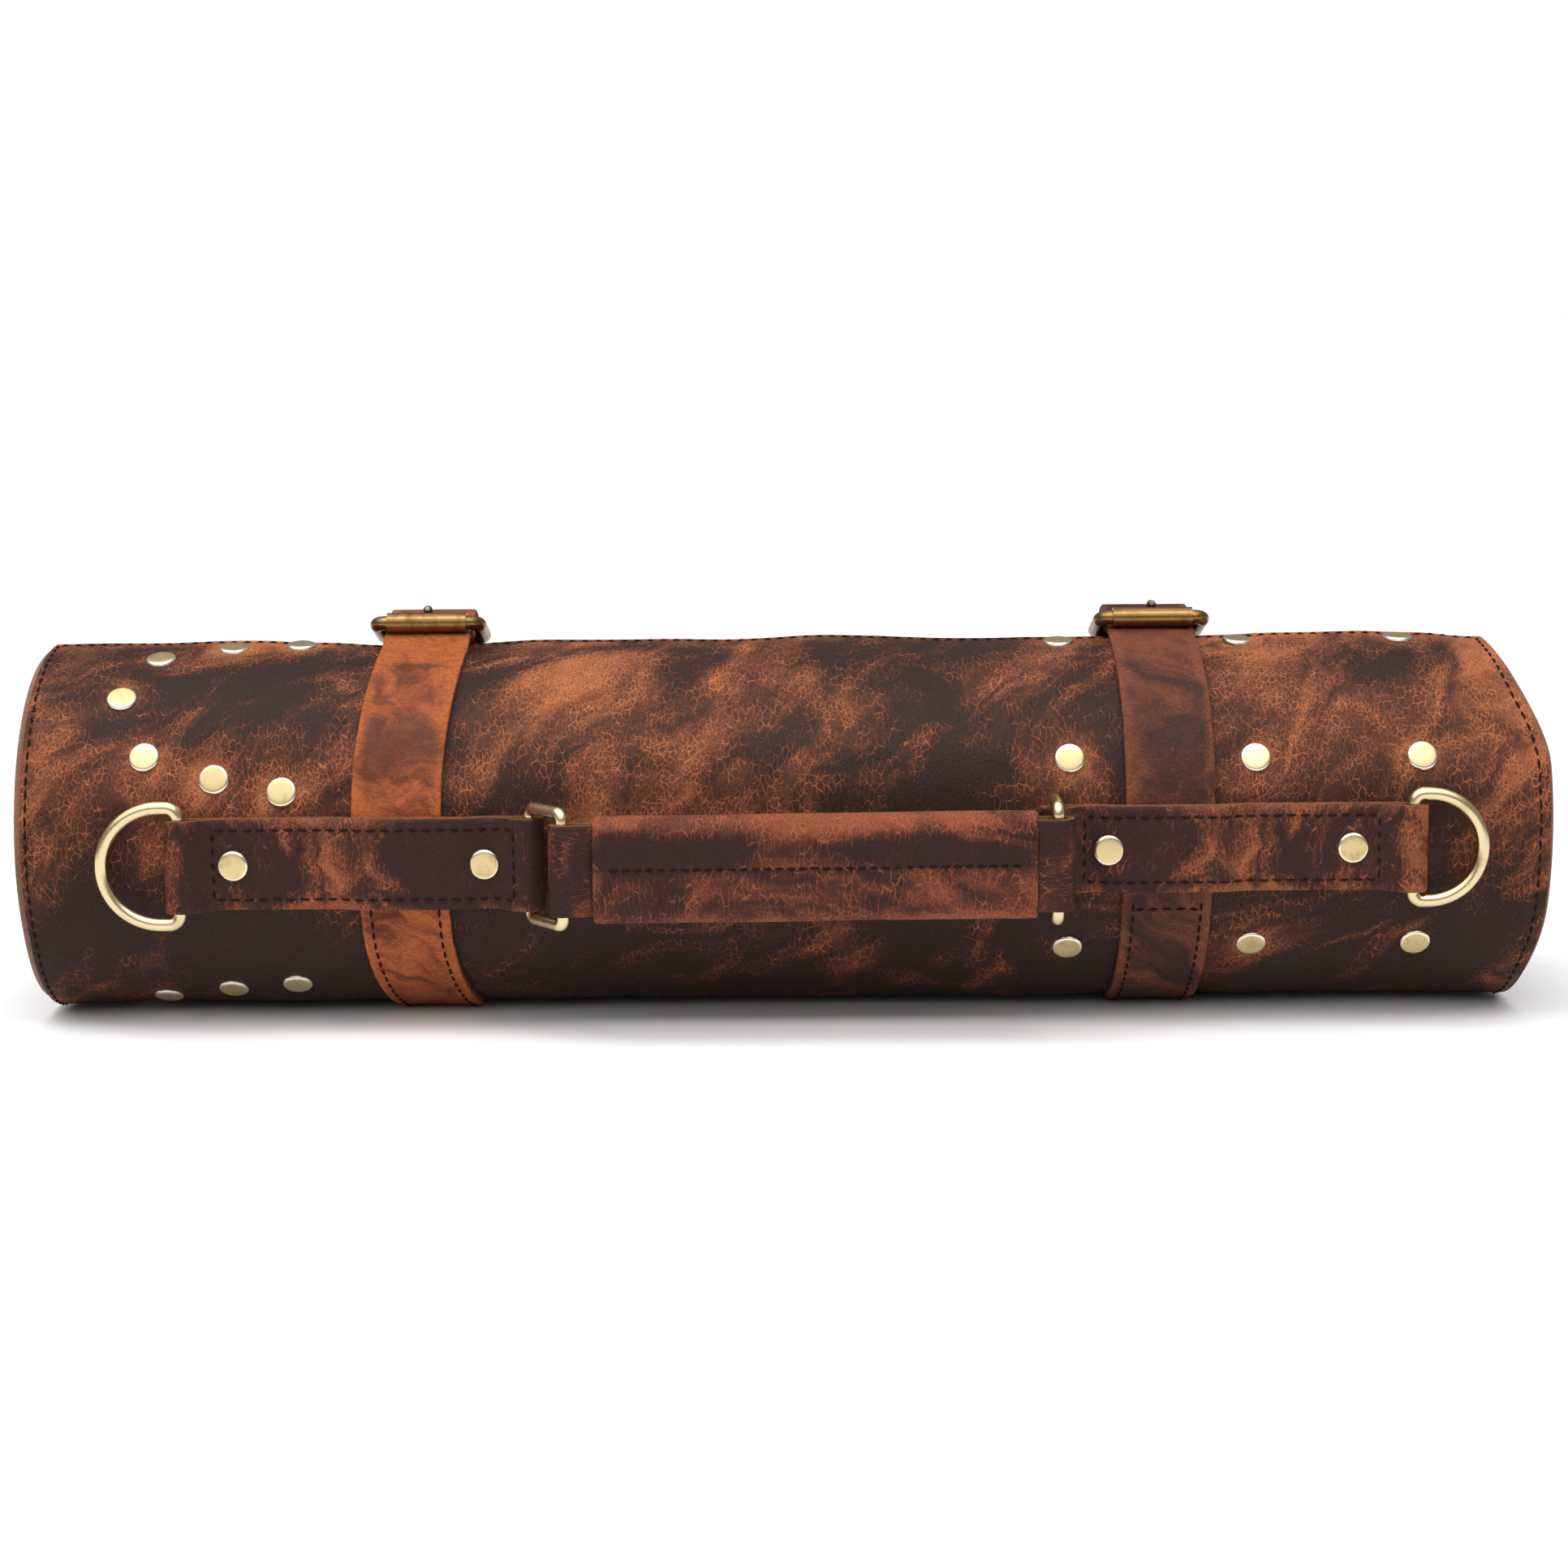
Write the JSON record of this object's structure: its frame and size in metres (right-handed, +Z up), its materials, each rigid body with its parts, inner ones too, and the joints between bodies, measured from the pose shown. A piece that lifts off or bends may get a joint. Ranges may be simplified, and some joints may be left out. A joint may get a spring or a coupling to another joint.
{
  "type": "leather knife roll",
  "caption": "Rolled leather knife and tool roll, shut by strap-and-roller-buckle closures, with rivets, a padded grip on pivoting metal rings and a D-ring at each end.",
  "frame": {"origin": "middle of the bounding box's underside, where the two closure straps touch the table", "axes": "+X along the roll, from the tan strap's end to the dark strap's end; -Y out through the handle; +Z up"},
  "size_m": [0.475, 0.1469, 0.1296],
  "materials": {
    "panel_leather": "waxed pull-up, crackled",
    "lining_leather": "suede",
    "pocket_leather": "matt",
    "tan_strap_leather": "waxed pull-up",
    "dark_strap_leather": "waxed pull-up",
    "handle_leather": "waxed pull-up",
    "grip_filler": "felt",
    "rivet_metal": "antique",
    "ring_metal": "antique",
    "buckle_metal": "antique"
  },
  "bodies": {
    "roll": {"outer_panel": "panel_leather", "lining_panel": "lining_leather", "pocket_panel": "pocket_leather", "pocket_rivets": "rivet_metal", "base_strap_rivets": "rivet_metal", "buckle_strap_rivets": "rivet_metal", "left_base_strap": "dark_strap_leather", "right_base_strap": "dark_strap_leather", "left_closure_strap": "tan_strap_leather", "right_closure_strap": "dark_strap_leather", "left_buckle_strap": "tan_strap_leather", "right_buckle_strap": "dark_strap_leather", "left_buckle_frame": "buckle_metal", "right_buckle_frame": "buckle_metal", "left_keeper": "tan_strap_leather", "right_keeper": "dark_strap_leather"},
    "left_d_ring": {"left_d_ring": "ring_metal"},
    "right_d_ring": {"right_d_ring": "ring_metal"},
    "left_handle_ring": {"left_handle_ring": "ring_metal"},
    "right_handle_ring": {"right_handle_ring": "ring_metal"},
    "left_roller": {"left_roller": "buckle_metal"},
    "right_roller": {"right_roller": "buckle_metal"},
    "left_prong": {"left_prong": "buckle_metal"},
    "right_prong": {"right_prong": "buckle_metal"},
    "handle": {"handle_strap": "handle_leather", "handle_grip": "handle_leather", "grip_padding": "grip_filler"}
  },
  "joints": [
    {"name": "left_d_hinge", "type": "hinge", "parent": "roll", "child": "left_d_ring", "pos_m": [-0.186, -0.05045, 0.0556], "axis": [0, 0, 1], "range_deg": [-4, 165]},
    {"name": "right_d_hinge", "type": "hinge", "parent": "roll", "child": "right_d_ring", "pos_m": [0.193, -0.05045, 0.0586], "axis": [0, 0, -1], "range_deg": [-4, 165]},
    {"name": "left_ring_hinge", "type": "hinge", "parent": "roll", "child": "left_handle_ring", "pos_m": [-0.078, -0.05045, 0.05665], "axis": [0, 0, -1], "range_deg": [-10, 40]},
    {"name": "right_ring_hinge", "type": "hinge", "parent": "roll", "child": "right_handle_ring", "pos_m": [0.0825, -0.05045, 0.05665], "axis": [0, 0, -1], "range_deg": [-9.5, 38]},
    {"name": "handle_hinge", "type": "hinge", "parent": "left_handle_ring", "child": "handle", "pos_m": [-0.0673, -0.06366, 0.05665], "axis": [0, 0, -1], "range_deg": [-43, 10.8]},
    {"name": "left_roller_spin", "type": "hinge", "parent": "roll", "child": "left_roller", "pos_m": [-0.1145, 0.00675, 0.12433], "axis": [1, 0, 0], "continuous": true},
    {"name": "left_prong_hinge", "type": "hinge", "parent": "roll", "child": "left_prong", "pos_m": [-0.1145, 0.0286, 0.11728], "axis": [-1, 0, 0], "range_deg": [0, 8]},
    {"name": "right_roller_spin", "type": "hinge", "parent": "roll", "child": "right_roller", "pos_m": [0.119, 0.00675, 0.12433], "axis": [1, 0, 0], "continuous": true},
    {"name": "right_prong_hinge", "type": "hinge", "parent": "roll", "child": "right_prong", "pos_m": [0.119, 0.0286, 0.11728], "axis": [-1, 0, 0], "range_deg": [0, 8]}
  ],
  "couplings": [
    {"joint": "right_ring_hinge", "follows": "left_ring_hinge", "ratio": 0.94},
    {"joint": "handle_hinge", "follows": "left_ring_hinge", "ratio": -1.07}
  ]
}
